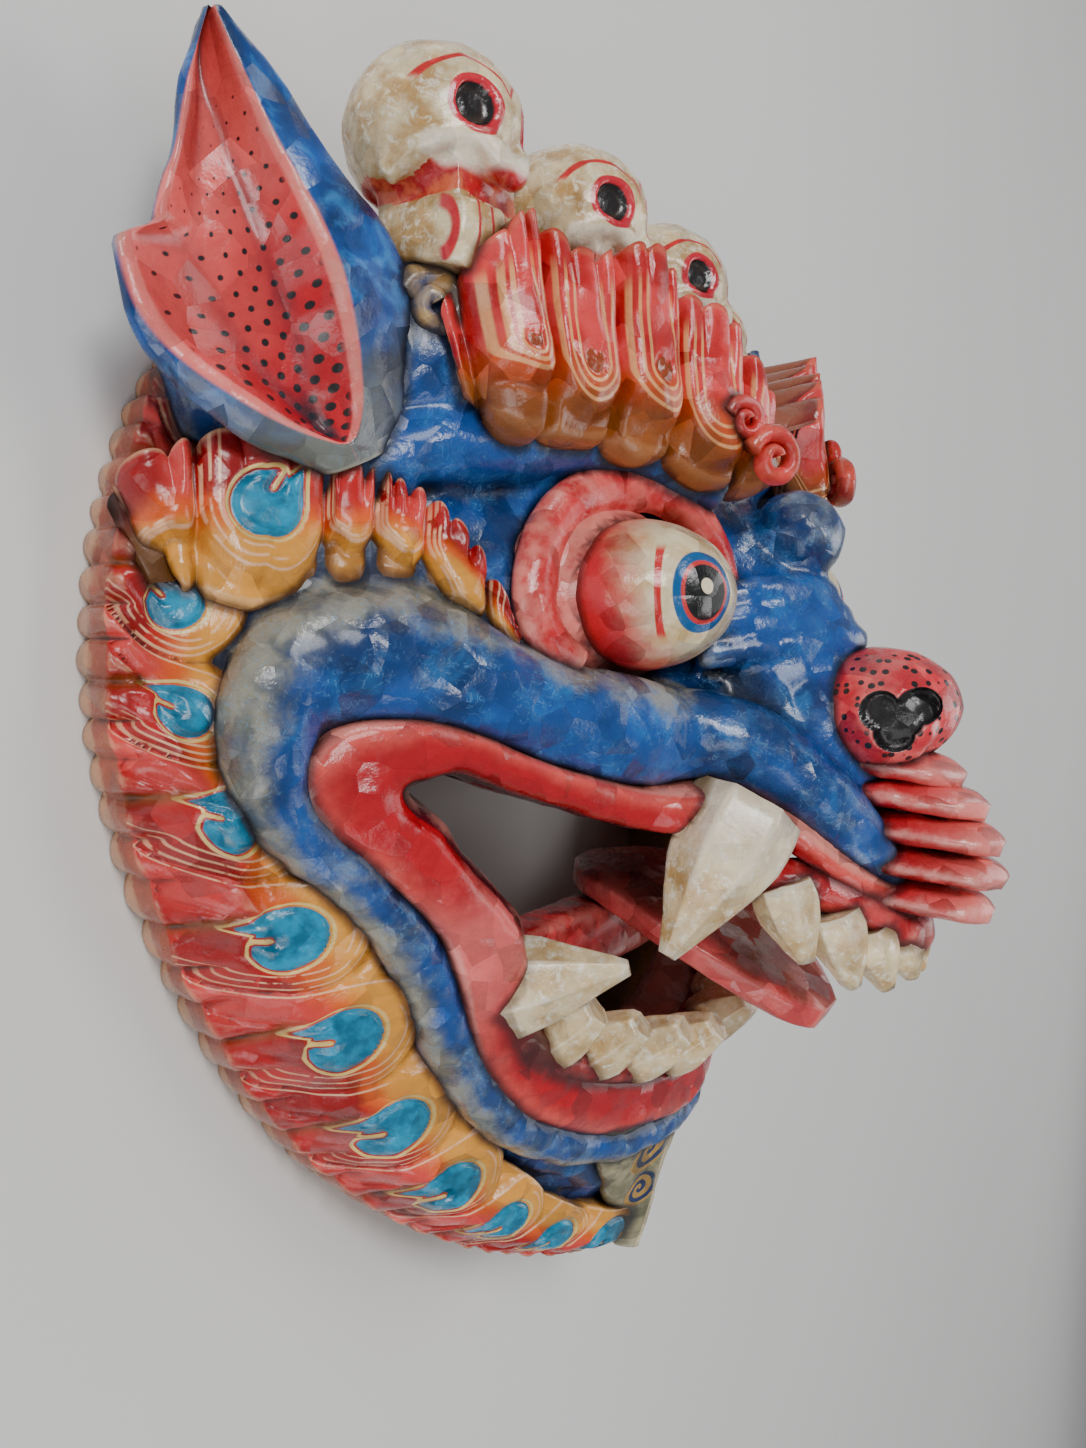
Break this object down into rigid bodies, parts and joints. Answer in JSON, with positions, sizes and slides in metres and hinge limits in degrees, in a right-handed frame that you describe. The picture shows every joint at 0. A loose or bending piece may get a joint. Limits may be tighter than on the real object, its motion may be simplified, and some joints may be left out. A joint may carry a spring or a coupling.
{
  "type": "wall mask",
  "caption": "Hollow carved wood wall mask of a snarling dragon with a flame border, large ears, fangs, a tongue and a crown of skulls.",
  "frame": {"origin": "middle of the mask's box, on the plane of its back rim", "axes": "+Z out of the face, +Y towards the crown, +X towards the ear on the far side of the picture"},
  "size_m": [0.3287, 0.3288, 0.1532],
  "materials": {
    "painted_wood": "carved wood painted blue, red, orange and teal, antiqued under a satin varnish",
    "bone_paint": "carved wood painted cream with ochre wear, satin varnish",
    "tongue_paint": "wood plank painted pink, satin varnish"
  },
  "bodies": {
    "root": {"mask_body": "painted_wood", "ear_left": "painted_wood", "ear_right": "painted_wood", "tongue": "tongue_paint", "skull_1": "bone_paint", "skull_2": "bone_paint", "skull_3": "bone_paint", "skull_4": "bone_paint", "skull_5": "bone_paint"}
  },
  "joints": []
}
